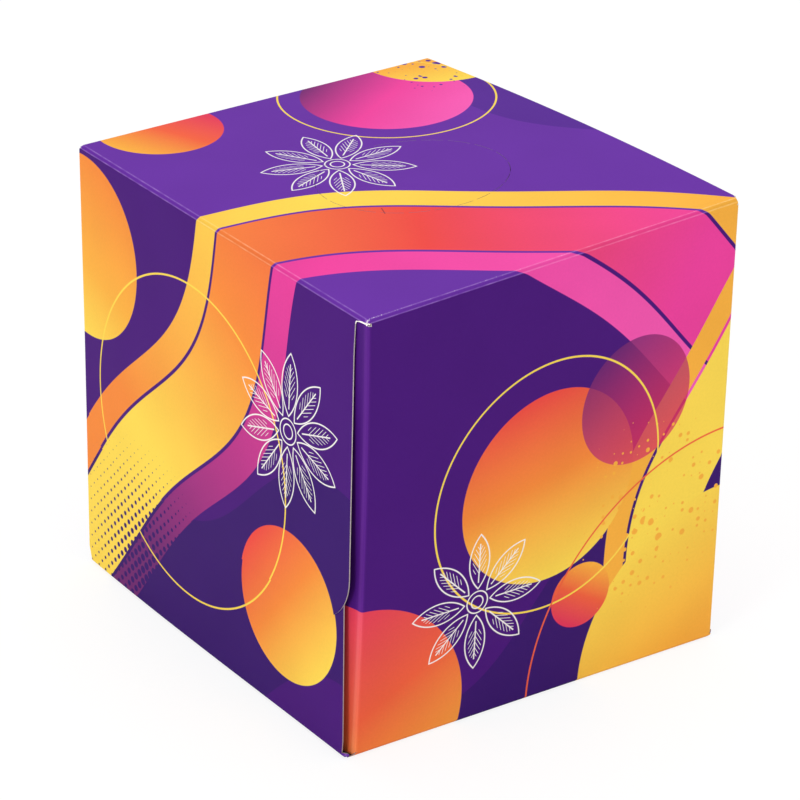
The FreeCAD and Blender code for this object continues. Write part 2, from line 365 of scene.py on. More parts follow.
def wrap_reach(depth, height, side):
    """How far from the middle each row of the wrap ends.

    The top and bottom panels reach their flaps' bends, the top also over the first part of its
    creases; the front and back reach their dust flaps' bends; between the two the end runs straight.
    """
    upright = HALF_LENGTH - dust_gap(height, side) - DUST_CREASE.before
    high = height > HEIGHT / 2
    level = np.where(high, TOP_END, BOTTOM_END)
    after = np.where(high, TOP_CREASE.after, Crease.hold)
    cut = np.where(high, TOP_CREASE.cut, 0)
    near = np.minimum(height, HEIGHT - height)
    share = np.clip((after - near) / (after - cut), 0, 1)
    tip = np.where(~high & (near < LOW_CREASE.after - SAME), DUST_CREASE.before - Crease.hold, 0)
    reach = upright + tip + (level - upright - tip) * share
    glue = (depth > SEAM_FACE - BOARD) & (depth < HALF_DEPTH - BOARD / 2) & (height < GLUE_REACH + BOARD)
    return np.where(glue, BOTTOM_END - GLUE_INSET * (1 + height / GLUE_REACH), reach)


def add_wrap(board):
    """The four panels and the glue flap: the section carried along the length, less the oval's window."""
    depth, height, sheet = wrap_section()
    window = window_lines(0)
    lines = joined(spaced(-TOP_END, window[0], COARSE), window, spaced(window[-1], TOP_END, COARSE))
    low, high = wrap_reach(depth, height, -1), wrap_reach(depth, height, 1)
    x = np.where(lines < 0, lines * low[:, None], lines * high[:, None]) / TOP_END
    deep = window_lines(1)
    middle_depth = (depth[:-1] + depth[1:]) / 2
    middle_line = (lines[:-1] + lines[1:]) / 2
    rows = (height[:-1] > HEIGHT - BOARD) & (middle_depth > deep[0]) & (middle_depth < deep[-1])
    columns = (middle_line > window[0]) & (middle_line < window[-1])
    keep = ~(rows[:, None] & columns[None, :])
    board.add(x, depth[:, None], height[:, None], x, sheet[:, None], 1, keep)


def add_shoulder(board, side, face, level):
    """The crushed corner where two creases meet: their first parts joined by about a quarter turn.

    Each row is a quarter of an ellipse about the panel's own corner, from the flap's crease to the
    side panel's, as far out and as far down as the two creases are on that row. At the sharper far
    corners the sine and the cosine are raised to a power below one.
    """
    high = level > 0
    flap, panel = (FLAP_CREASE, TOP_CREASE) if high else (LOW_CREASE, LOW_CREASE)
    end, flat = (TOP_END, FLAT_TOP) if high else (BOTTOM_END, FLAT_LOW)
    rows = slice(0, flap.cut_row + 1)
    share = np.linspace(0, 1, SHOULDER_STEPS + 1)
    turn = share * (math.pi / 2 if high else math.radians(LOW_SHOULDER))
    power = SHARP_POWER if high and face > 0 else 1.0
    out_x = (flap.along + flap.before)[rows, None] * np.maximum(np.cos(turn), 0) ** power
    out_y = (panel.along + panel.before)[rows, None] * np.sin(turn) ** power
    down = flap.across[rows, None] * (1 - share) + panel.across[rows, None] * share
    x, y = end + out_x, flat + out_y
    if high:
        board.add(side * x, face * y, HEIGHT - down, side * x, face * y, side * face)
    else:
        rise = down + LOW_LIFT * 4 * share * (1 - share)
        board.add(side * x, face * y, rise, side * x, face * (y - 2 * HALF_DEPTH) - HEIGHT, -side * face)


def add_oval(board):
    """The window's filling: rings from its straight edge to the perforated oval and on to its middle.

    Each ring is the oval's direction at every angle times its radius there. Along the oval the board
    is missing in slits, and one narrow cell in four is a nick that holds.
    """
    columns = NICKS * CELLS_A_NICK
    spots = np.arange(NICKS) * math.tau / NICKS
    radius = polar_radius(spots, 0)
    half_nick = NICK / 2 / radius
    cut_step = (math.tau / NICKS - 2 * half_nick) / (CELLS_A_NICK - 1)
    starts = [spots + half_nick + cut_step * part for part in range(CELLS_A_NICK - 1)]
    starts.insert(0, spots - half_nick)
    angle = np.stack(starts, axis=-1).ravel()
    angle = np.append(angle, angle[0] + math.tau)
    x_line, y_line = window_lines(0), window_lines(1)
    right = np.stack([0 * y_line + x_line[-1], y_line])
    upper = np.stack([x_line[::-1], 0 * x_line + y_line[-1]])
    left = np.stack([0 * y_line + x_line[0], y_line[::-1]])
    lower = np.stack([x_line, 0 * x_line + y_line[0]])
    loop = np.concatenate([side[:, :-1] for side in (right, upper, left, lower)], axis=1)
    loop = np.roll(loop, -(WINDOW_CELLS[1] // 2), axis=1)
    loop = np.append(loop, loop[:, :1], axis=1) - np.array(OVAL_PLACE)[:, None]
    direction = np.stack([np.cos(angle), np.sin(angle)])
    outer = polar_radius(angle, SLIT / 2) * direction
    inner = polar_radius(angle, -SLIT / 2) * direction
    rings = [loop, (loop + outer) / 2, outer, inner]
    rings += [inner * share for share in OVAL_RINGS]
    x = np.stack([ring[0] for ring in rings]) + OVAL_PLACE[0]
    y = np.stack([ring[1] for ring in rings]) + OVAL_PLACE[1]
    keep = np.ones((len(rings) - 1, columns), dtype=bool)
    keep[2] = np.arange(columns) % CELLS_A_NICK == 0
    board.add(x, y, HEIGHT, x, y, -1, keep)


def polar_radius(angle, grow):
    """The oval's radius at an angle, its half axes a and b grown: ab / sqrt((b cos)^2 + (a sin)^2)."""
    long, short = OVAL[0] + grow, OVAL[1] + grow
    return long * short / np.hypot(short * np.cos(angle), long * np.sin(angle))


def bent(crease, lines):
    """The distance past a crease's old direction for each row of a flap: its bend, then nothing."""
    return np.concatenate([crease.along, np.zeros(len(lines) - len(crease.along))])


def unbent(crease, lines):
    """Each row's distance on the flat sheet past a crease's middle line."""
    return np.concatenate([crease.flat, lines[len(crease.flat):]])


def add_top_flap(board, side):
    """A top flap: over the crease and down the end, its lower corners rounded by quarter circles.

    Its near edge starts at the carton's corner and sweeps in to its inset by a falling exponential.
    """
    columns = top_lines()
    share = (columns - columns[-1]) / (columns[0] - columns[-1])
    turn = np.linspace(0, math.pi / 2, ROUND_STEPS + 1)
    straight = TOP_REACH - TOP_CORNER
    drop = joined(FLAP_CREASE.across, spaced(FLAP_CREASE.after, 3 * FLAP_CREASE.after, EDGE_SWEEP))
    drop = joined(drop, spaced(drop[-1], straight, COARSE), straight + TOP_CORNER * np.sin(turn))
    shrink = np.concatenate([np.zeros(len(drop) - len(turn)), TOP_CORNER * (1 - np.cos(turn))])
    height = HEIGHT - drop
    stand = np.minimum(inset(SEEN_INSET if side < 0 else PLAIN_INSET, height), WIDEST_INSET)
    below = np.maximum(drop - FLAP_CREASE.cut, 0)
    sweep, far_sweep = np.exp(-below / EDGE_SWEEP), np.exp(-below / FAR_SWEEP)
    notch = 0.0 if side < 0 else CORNER_NOTCH
    near = -HALF_DEPTH + shrink + stand * (1 - sweep) + (HALF_DEPTH - FLAT_TOP + notch) * sweep
    far = HALF_DEPTH - shrink - inset(FAR_INSET, height) * (1 - far_sweep)
    far = far - (HALF_DEPTH - FLAT_TOP) * far_sweep
    y = near[:, None] + (far - near)[:, None] * share[None, :]
    row = np.arange(len(drop))
    nudge = notch * np.minimum(row, 2)[:, None] / 2 * np.maximum(1 - (columns - columns[-1]) / COARSE, 0)
    y = np.where((row <= FLAP_CREASE.cut_row)[:, None], columns + nudge, y)
    x = HALF_LENGTH + bent(FLAP_CREASE, drop)
    u = HALF_LENGTH + unbent(FLAP_CREASE, drop)
    board.add(side * x[:, None], y, height[:, None], side * u[:, None], y, -side)


def add_bottom_flap(board, side):
    """A bottom flap: up the end behind the top flap, its near edge leaning in as it rises."""
    columns = bottom_lines()
    share = (columns - columns[0]) / (columns[-1] - columns[0])
    rise = joined(LOW_CREASE.across, spaced(LOW_CREASE.after, BOTTOM_REACH, COARSE))
    near, far = inset(BOTTOM_INSET, rise) - HALF_DEPTH, HALF_DEPTH - BOTTOM_FAR_INSET
    y = near[:, None] + (far - near)[:, None] * share[None, :]
    flat = np.arange(len(rise)) <= LOW_CREASE.cut_row
    y = np.where(flat[:, None], columns[None, :], y)
    x = BOTTOM_FACE + bent(LOW_CREASE, rise)
    u = HALF_LENGTH + HEIGHT - unbent(LOW_CREASE, rise)
    board.add(side * x[:, None], y, rise[:, None], side * u[:, None], y, -side)


def add_dust_flap(board, side, face):
    """A dust flap: from the front or back panel round its crease and in.

    Just past the crease its edges widen until they nearly meet the top and bottom panels, and
    further in they slant away from them. Its face nears its resting place by a falling exponential.
    """
    root = upright_lines()
    share = (root - root[0]) / (root[-1] - root[0])
    inward = joined(DUST_CREASE.across, spaced(DUST_CREASE.after, DUST_REACH, COARSE))
    widen = np.clip(inward / DUST_BEVEL[1], 0, 1)
    slant = np.maximum(inward - DUST_TAPER_START, 0) * math.tan(math.radians(DUST_TAPER))
    high = root[-1] + (HEIGHT - DUST_ENDS[1] - root[-1]) * widen - slant
    low = root[0] + (DUST_ENDS[0] - root[0]) * widen + slant
    z = low[:, None] + (high - low)[:, None] * share[None, :]
    gap = dust_gap(z, side)
    spare = np.maximum(gap - DUST_REST, SAME)
    past = np.maximum(inward - DUST_CREASE.after, 0)[:, None]
    lean = spare * (1 - np.exp(-DUST_LEAN * past / spare))
    x = HALF_LENGTH - gap + lean + bent(DUST_CREASE, inward)[:, None]
    y = face * (HALF_DEPTH - inward[:, None])
    v = face * (HALF_DEPTH + HEIGHT - z)
    u = HALF_LENGTH - gap + unbent(DUST_CREASE, inward)[:, None]
    board.add(side * x, y, z, side * u, v, -side * face)


def make_board():
    """The whole folded board with its thickness: printed outside, bare inside, cut edges between."""
    board = Board()
    add_wrap(board)
    add_oval(board)
    for side in (-1, 1):
        add_top_flap(board, side)
        add_bottom_flap(board, side)
        for face in (-1, 1):
            add_dust_flap(board, side, face)
            if side < 0 or face > 0:
                add_shoulder(board, side, face, 1)
        add_shoulder(board, side, -1, -1)
    mesh = board.make_mesh("carton_board")
    piece = bpy.data.objects.new("carton_board", mesh)
    bpy.context.collection.objects.link(piece)
    for material in (make_printed_board(), make_bare_board(), make_cut_edge("cut_edge", 0)):
        mesh.materials.append(material)
    wall = piece.modifiers.new("thickness", "SOLIDIFY")
    wall.thickness = BOARD * MM
    wall.offset = -1
    wall.use_even_offset = True
    wall.material_offset = 1
    wall.material_offset_rim = 2
    solid = bpy.data.meshes.new_from_object(piece.evaluated_get(bpy.context.evaluated_depsgraph_get()))
    piece.modifiers.clear()
    piece.data = solid
    solid.shade_smooth()
    solid.set_sharp_from_angle(angle=math.radians(SHARP_ANGLE))
    return piece


def make_fibres():
    """The torn fibres: short strands, each a circle that tapers at both ends, along a parabola."""
    corner = np.array([-HALF_LENGTH, -HALF_DEPTH, HEIGHT])
    points = []
    quads = []
    steps, sides = FIBRE_STEPS, FIBRE_SIDES
    t = np.linspace(0, 1, steps)[:, None]
    turn = np.arange(sides) * math.tau / sides
    for number, (first, middle, last, width) in enumerate(FIBRES):
        first, middle, last = (np.array(spot) for spot in (first, middle, last))
        line = first * (1 - t) ** 2 + 2 * middle * t * (1 - t) + last * t ** 2
        slope = 2 * (middle - first) * (1 - t) + 2 * (last - middle) * t
        slope = slope / np.linalg.norm(slope, axis=1)[:, None]
        across = np.cross(slope, FIBRE_ASIDE)
        across = across / np.linalg.norm(across, axis=1)[:, None]
        other = np.cross(slope, across)
        radius = width * np.sqrt(np.maximum(1 - (2 * t - 1) ** 4, 1e-4))
        cosine, sine = np.cos(turn)[None, :, None], np.sin(turn)[None, :, None]
        ring = across[:, None] * cosine + other[:, None] * sine
        tube = line[:, None] + ring * radius[:, None]
        index = np.arange(steps * sides).reshape(steps, sides) + number * steps * sides
        around = np.roll(index, -1, axis=1)
        quads.append(np.stack([index[:-1], around[:-1], around[1:], index[1:]], axis=-1).reshape(-1, 4))
        points.append(settle(tube.reshape(-1, 3) + corner))
    mesh = bpy.data.meshes.new("corner_fibres")
    mesh.from_pydata(np.concatenate(points) * MM, [], np.concatenate(quads).tolist())
    work = bmesh.new()
    work.from_mesh(mesh)
    bmesh.ops.holes_fill(work, edges=work.edges, sides=sides)
    bmesh.ops.recalc_face_normals(work, faces=work.faces)
    work.to_mesh(mesh)
    work.free()
    mesh.shade_smooth()
    mesh.materials.append(make_cut_edge("loose_fibres", FIBRE_LIT))
    piece = bpy.data.objects.new("corner_fibres", mesh)
    bpy.context.collection.objects.link(piece)
    return piece


class Value:
    """An output socket; an operator on it adds the Math node that works the expression out.

    The reflected operators let a plain number stand first, as in 1 - mask.
    """

    def __init__(self, nodes, socket):
        self.nodes = nodes
        self.socket = socket

    def beside(self, output):
        """Another output of the same node."""
        return Value(self.nodes, self.socket.node.outputs[output])

    def __add__(self, other):
        return self.nodes.math("ADD", self, other)

    __radd__ = __add__

    def __sub__(self, other):
        return self.nodes.math("SUBTRACT", self, other)

    def __rsub__(self, other):
        return self.nodes.math("SUBTRACT", other, self)

    def __mul__(self, other):
        return self.nodes.math("MULTIPLY", self, other)

    __rmul__ = __mul__

    def __abs__(self):
        return self.nodes.math("ABSOLUTE", self)


class Nodes:
    """The node tree of one material, with one method that adds any node."""

    def __init__(self, name):
        self.material = bpy.data.materials.new(name)
        self.material.use_nodes = True
        self.tree = self.material.node_tree
        self.tree.nodes.clear()

    def add(self, kind, settings, inputs, output=0):
        """A node of a kind: its settings first, then the values or links of its sockets."""
        node = self.tree.nodes.new(kind)
        for name, setting in settings.items():
            if name == "stops":
                set_stops(node.color_ramp, setting)
            else:
                setattr(node, name, setting)
        for name, value in inputs.items():
            if isinstance(value, Value):
                self.tree.links.new(value.socket, node.inputs[name])
            else:
                node.inputs[name].default_value = value
        if not node.outputs:
            return None
        return Value(self, node.outputs[output])

    def math(self, operation, *values, clamp=False):
        """A Math node on numbers or values."""
        settings = {"operation": operation, "use_clamp": clamp}
        return self.add("ShaderNodeMath", settings, dict(enumerate(values)))

    def vector(self, operation, *values, output=0):
        """A Vector Math node; its output 1 is a number."""
        return self.add("ShaderNodeVectorMath", {"operation": operation}, dict(enumerate(values)), output)

    def blend(self, share, first, second):
        """A colour between two colours."""
        settings = {"data_type": "RGBA"}
        return self.add("ShaderNodeMix", settings, {0: share, 6: first, 7: second}, 2)

    def ramp(self, share, stops):
        """A colour by the share of the way along some stops."""
        return self.add("ShaderNodeValToRGB", {"stops": stops}, {0: share})

    def noise(self, place, scale, detail):
        """Soft noise about one half, so many waves to a unit of the place."""
        return self.add("ShaderNodeTexNoise", {}, {"Vector": place, "Scale": scale, "Detail": detail})

    def finish(self, inputs):
        """The Principled shader with its inputs, as the material's surface."""
        shader = self.add("ShaderNodeBsdfPrincipled", {}, inputs)
        self.add("ShaderNodeOutputMaterial", {}, {0: shader})
        return self.material


def set_stops(ramp, stops):
    """The stops of a colour ramp: pairs of a position and a colour."""
    while len(ramp.elements) > 1:
        ramp.elements.remove(ramp.elements[-1])
    ramp.elements[0].position = stops[0][0]
    ramp.elements[0].color = stops[0][1]
    for position, colour in stops[1:]:
        ramp.elements.new(position).color = colour


def ink(red, green, blue):
    """A colour from its screen values, 0 to 255, as linear light."""
    screen = np.array([red, green, blue]) / 255
    linear = np.where(screen <= 0.04045, screen / 12.92, ((screen + 0.055) / 1.055) ** 2.4)
    return (*(float(value) for value in linear), 1.0)


# Violet and indigo each have a lighter copy for the top panel and a darker one for the sides: painted
# light and shade
VIOLET_PAINTED_LIT = ink(103, 48, 160)
VIOLET_PAINTED_SHADE = ink(72, 23, 118)
INDIGO_PAINTED_LIT = ink(88, 42, 146)
INDIGO_PAINTED_SHADE = ink(58, 24, 106)
YELLOW = ink(251, 216, 84)
AMBER = ink(247, 176, 66)
ORANGE = ink(243, 138, 60)
CORAL = ink(238, 98, 64)
RED = ink(234, 74, 68)
CRIMSON = ink(222, 52, 92)
MAGENTA = ink(236, 66, 156)
PINK = ink(242, 92, 178)
PLUM = ink(112, 42, 112)
CHALK = ink(246, 242, 238)

SUNSET = [(0.0, RED), (0.45, ORANGE), (1.0, YELLOW)]
EMBER = [(0.0, CRIMSON), (0.5, CORAL), (1.0, AMBER)]
BLUSH = [(0.0, PLUM), (0.5, MAGENTA), (1.0, PINK)]
GOLD = [(0.0, ORANGE), (0.6, AMBER), (1.0, YELLOW)]

# Line widths, how fast a printed edge goes from one colour to the next for each millimetre, and how
# much is taken off each scattered dot, so that the smallest ones vanish
LINE_WIDTH = 0.5
CHALK_WIDTH = 0.34
PRINT_EDGE = 6.0
DOT_TRIM = 0.09


class Print:
    """The printed sheet: motifs laid over each other, in millimetres on the flat sheet."""

    def __init__(self, nodes, ground):
        self.nodes = nodes
        sheet = nodes.add("ShaderNodeUVMap", {"uv_map": "print"}, {})
        settings = {"operation": "SCALE"}
        self.place = nodes.add("ShaderNodeVectorMath", settings, {0: sheet, "Scale": 1 / MM})
        self.colour = ground

    def inside(self, value):
        """1 where a value is under nothing, 0 where it is over, with a narrow soft edge."""
        return self.nodes.math("MULTIPLY_ADD", value, -PRINT_EDGE, 0.5, clamp=True)

    def soft(self, value, width):
        """1 where a value is nothing, falling to 0 at the width on both sides."""
        return self.nodes.math("MULTIPLY_ADD", abs(value), -1 / width, 1.0, clamp=True)

    def lines(self, past, rules):
        """Soft lines along a crease: each rule has a distance past it, half a width and a strength."""
        first, *others = (self.soft(past - place, half) * strength for place, half, strength in rules)
        return sum(others, first)

    def distance(self, centre):
        """How far a place lies from a centre."""
        return self.nodes.vector("DISTANCE", self.place, (*centre, 0), output=1)

    def along(self, centre, heading, length):
        """The share of the way along a heading, 0.5 at the centre."""
        turn = math.radians(heading)
        step = (math.cos(turn) / length, math.sin(turn) / length, 0)
        dot = self.nodes.vector("DOT_PRODUCT", self.place, step, output=1)
        return self.nodes.math("ADD", dot, 0.5 - centre[0] * step[0] - centre[1] * step[1], clamp=True)

    def lay(self, mask, colour):
        """Print a colour over what is there, where the mask is 1."""
        self.colour = self.nodes.blend(mask, self.colour, colour)

    def disc(self, centre, radius, stops, heading, cover=1.0):
        """A disc with its colours running along a heading."""
        mask = self.inside(self.distance(centre) - radius)
        if cover < 1:
            mask = mask * cover
        self.lay(mask, self.nodes.ramp(self.along(centre, heading, 2 * radius), stops))

    def ring(self, centre, radius, width, colour):
        """A ring of one colour, by the middle of its line."""
        self.lay(self.inside(abs(self.distance(centre) - radius) - width / 2), colour)

    def wave(self, centre, heading, length, height, lean=0.3):
        """How far a place lies to the left of a wavy line: a sine with a second, shorter one on it."""
        turn = math.radians(heading)
        forward = (math.cos(turn), math.sin(turn), 0)
        left = (-math.sin(turn), math.cos(turn), 0)
        run = self.nodes.vector("DOT_PRODUCT", self.place, forward, output=1)
        offset = self.nodes.vector("DOT_PRODUCT", self.place, left, output=1)
        run = (run - (centre[0] * forward[0] + centre[1] * forward[1])) * (math.tau / length)
        offset = offset - (centre[0] * left[0] + centre[1] * left[1])
        swing = self.nodes.math("SINE", run) * height
        swing = swing + self.nodes.math("SINE", run * 2 + 0.7) * height * lean
        return offset - swing

    def band(self, wave, low, high, colour):
        """What lies between two offsets from a wavy line."""
        self.lay(self.inside(abs(wave - (low + high) / 2) - (high - low) / 2), colour)

    def blossom(self, centre, radius, petals, colour=CHALK):
        """A line-drawn blossom: petals between two arcs, each with a midrib and veins, round a ring.

        The angle is folded to half a petal, so one arc draws them all.
        """
        nodes = self.nodes
        offset = nodes.vector("SUBTRACT", self.place, (*centre, 0))
        split = nodes.add("ShaderNodeSeparateXYZ", {}, {0: offset})
        angle = nodes.math("ARCTAN2", split.beside("Y"), split)
        fold = nodes.math("PINGPONG", angle, math.pi / petals)
        reach = nodes.vector("LENGTH", offset, output=1)
        x = reach * nodes.math("COSINE", fold)
        y = reach * nodes.math("SINE", fold)
        inner = radius * 0.2
        half, middle = (radius - inner) / 2, (radius + inner) / 2
        wide = radius * 0.155
        arc = (half ** 2 + wide ** 2) / (2 * wide)
        point = nodes.add("ShaderNodeCombineXYZ", {}, {0: x, 1: y})
        rim = nodes.vector("DISTANCE", point, (middle, wide - arc, 0), output=1) - arc
        line = self.inside(abs(rim) - CHALK_WIDTH / 2)
        within = self.inside(rim)
        rib = self.inside(y - CHALK_WIDTH / 2) * self.inside(abs(x - middle * 0.96) - half * 0.72)
        spacing = radius * 0.085
        vein = nodes.math("PINGPONG", x - y * 1.7, spacing / 2)
        vein = self.inside(vein - CHALK_WIDTH * 0.42) * self.inside(abs(x - middle * 1.05) - half * 0.5)
        vein = vein * self.inside(rim + wide * 0.32)
        mask = nodes.math("MAXIMUM", line, nodes.math("MAXIMUM", rib, vein) * within)
        for share in (0.8, 0.45):
            heart = self.inside(abs(reach - inner * share) - CHALK_WIDTH / 2)
            mask = nodes.math("MAXIMUM", mask, heart)
        self.lay(mask, colour)

    def halftone(self, centre, reach, spacing, largest, colour, heading=45.0):
        """Dots on a square grid turned by a heading, smaller with the distance from the centre."""
        nodes = self.nodes
        turned = nodes.add("ShaderNodeMapping", {}, {
            "Vector": self.place,
            "Rotation": (0, 0, math.radians(heading)),
            "Scale": (1 / spacing, 1 / spacing, 1)})
        cell = nodes.vector("FRACTION", turned)
        far = nodes.vector("DISTANCE", cell, (0.5, 0.5, 0), output=1) * spacing
        size = nodes.math("MULTIPLY_ADD", self.distance(centre), -largest / reach, largest)
        self.lay(self.inside(far - size), colour)

    def confetti(self, centre, reach, scale, largest, colour):
        """Round dots of many sizes, scattered about a centre, thinning out away from it to none."""
        nodes = self.nodes
        settings = {"voronoi_dimensions": "2D", "feature": "F1"}
        inputs = {"Vector": self.place, "Scale": 1 / scale, "Randomness": 0.9}
        far = nodes.add("ShaderNodeTexVoronoi", settings, inputs)
        luck = nodes.add("ShaderNodeSeparateColor", {}, {0: far.beside("Color")})
        size = nodes.math("POWER", luck, 3.0) * largest
        fade = nodes.math("MULTIPLY_ADD", self.distance(centre), -1 / reach, 1.0, clamp=True)
        fade = nodes.math("POWER", fade, 0.6)
        self.lay(self.inside(far * scale - size * fade + DOT_TRIM), colour)


# How far past the top panel's edges its painted light goes: its inks lighter than the sides'
TOP_PAINTED_LIGHT_EDGE = 0.6


def paint_sheet(nodes):
    """The sheet's design: a ribbon of waves over the corner, discs, rings, line blossoms and dots."""
    probe = Print(nodes, None)
    split = nodes.add("ShaderNodeSeparateXYZ", {}, {0: probe.place})
    v = split.beside("Y")
    past = TOP_PAINTED_LIGHT_EDGE
    # Painted light: the ground's violet and indigo lighter on the top panel than on the sides
    top_painted_light = probe.inside(abs(split) - HALF_LENGTH - past) * probe.inside(abs(v) - HALF_DEPTH - past)
    violet = nodes.blend(top_painted_light, VIOLET_PAINTED_SHADE, VIOLET_PAINTED_LIT)
    indigo = nodes.blend(top_painted_light, INDIGO_PAINTED_SHADE, INDIGO_PAINTED_LIT)
    sheet = Print(nodes, violet)

    # Quiet waves of darker ground
    deep = sheet.wave((-110, -10), 100, 170, 12)
    sheet.band(deep, 16, 70, indigo)
    low = sheet.wave((0, -150), 20, 150, 10)
    sheet.band(low, -80, -4, indigo)
    back = sheet.wave((0, 120), 12, 160, 11)
    sheet.band(back, 8, 44, indigo)
    end = sheet.wave((118, 0), 96, 170, 12)
    sheet.band(end, 6, 62, indigo)

    # The ribbon of waves that runs from the end over the top to the front
    ribbon = sheet.wave((-57, -14), -31, 190, 9)
    run = sheet.along((-40, -20), -31, 250)
    sheet.band(ribbon, -24, -14, nodes.ramp(run, [(0.0, PLUM), (0.5, MAGENTA), (1.0, PINK)]))
    flame = [(0.1, YELLOW), (0.35, ORANGE), (0.6, RED), (0.9, MAGENTA)]
    sheet.band(ribbon, -13, 12, nodes.ramp(run, flame))
    sheet.band(ribbon, 13, 22, nodes.ramp(run, [(0.1, ORANGE), (0.5, YELLOW), (0.9, AMBER)]))

    # Ribbons on the back and on the hidden end
    far = sheet.wave((0, 128), -24, 170, 10)
    run = sheet.along((0, 128), -24, 150)
    sheet.band(far, -12, 10, nodes.ramp(run, [(0.1, MAGENTA), (0.5, RED), (0.9, ORANGE)]))
    sheet.band(far, 11, 18, nodes.ramp(run, [(0.1, PINK), (0.5, MAGENTA), (0.9, PLUM)]))
    side = sheet.wave((118, -12), 62, 170, 10)
    run = sheet.along((118, -12), 62, 150)
    sheet.band(side, -10, 12, nodes.ramp(run, [(0.1, YELLOW), (0.5, ORANGE), (0.9, CRIMSON)]))
    sheet.band(side, 13, 20, nodes.ramp(run, [(0.1, AMBER), (0.5, YELLOW), (0.9, ORANGE)]))

    # Discs
    for centre, radius, stops, heading in (
        ((30, 160), 24, SUNSET, 60),
        ((-38, 96), 15, BLUSH, 110),
        ((152, -40), 22, BLUSH, 70),
        ((82, 34), 16, EMBER, 150),
        ((0, -250), 30, EMBER, 40),
        ((28, 44), 23, BLUSH, -60),
        ((58, 62), 21, GOLD, -100),
        ((-34, 60), 17, EMBER, 200),
        ((-84, 60), 25, GOLD, 160),
        ((-146, -36), 21, SUNSET, -130),
        ((0, -124), 26, SUNSET, -80),
        ((57, -184), 44, GOLD, 120),
        ((-57, -176), 34, EMBER, -60),
    ):
        sheet.disc(centre, radius, stops, heading)
    sheet.disc((26, -108), 17, [(0.0, PLUM), (1.0, CRIMSON)], -60, 0.85)
    sheet.disc((12, -158), 9, EMBER, 60)

    # Dots
    sheet.halftone((-168, 30), 40, 2.6, 1.2, INDIGO_PAINTED_SHADE)
    sheet.confetti((58, 58), 26, 2.4, 1.5, INDIGO_PAINTED_LIT)
    sheet.confetti((34, -140), 30, 2.6, 1.6, AMBER)
    sheet.confetti((-8, 166), 26, 2.6, 1.5, AMBER)
    sheet.confetti((140, 8), 26, 2.5, 1.5, YELLOW)

    # Thin rings
    for centre, radius, colour in (
        ((-120, 10), 44, YELLOW),
        ((0, -124), 34, YELLOW),
        ((57, -184), 60, CORAL),
        ((28, 44), 29, YELLOW),
        ((30, 160), 33, YELLOW),
        ((152, -40), 31, CORAL),
    ):
        sheet.ring(centre, radius, LINE_WIDTH, colour)

    # Line-drawn blossoms
    for centre, radius, petals in (
        ((-10, 14), 20, 9),
        ((-98, -34), 21, 10),
        ((-20, -150), 19, 8),
        ((-30, 152), 19, 9),
        ((128, 38), 20, 8),
    ):
        sheet.blossom(centre, radius, petals)
    return sheet, split, v


# Soft lines along the creases: worn with painted highlights, or a painted sheen; how far past the crease,
# half the width, the strength
END_WEAR_AND_HIGHLIGHT = ((-0.85, 0.32, 0.36), (0.5, 0.3, 0.34))
LONG_WEAR_AND_HIGHLIGHT = ((-0.87, 0.32, 0.36), (0.5, 0.3, 0.32))
BEND_PAINTED_SHEEN = ((0.5, 1.7, 1.0), (-0.3, 0.25, 0.25), (1.0, 0.25, 0.25))
RIDGE_HALF = 1.2

# The slit where the tearing starts: its middle and its turn on the sheet, half its length and its width
TEAR_MIDDLE = (-18.0, -16.2, 0)
TEAR_TURN = 69.0
TEAR_HALVES = (1.7, 0.12)

# The flecks at the near corner: how far they reach, and the line that they lie on and half its width
FLECK_REACH = 12.0
FLECK_LINE = (0.9, 0.2)


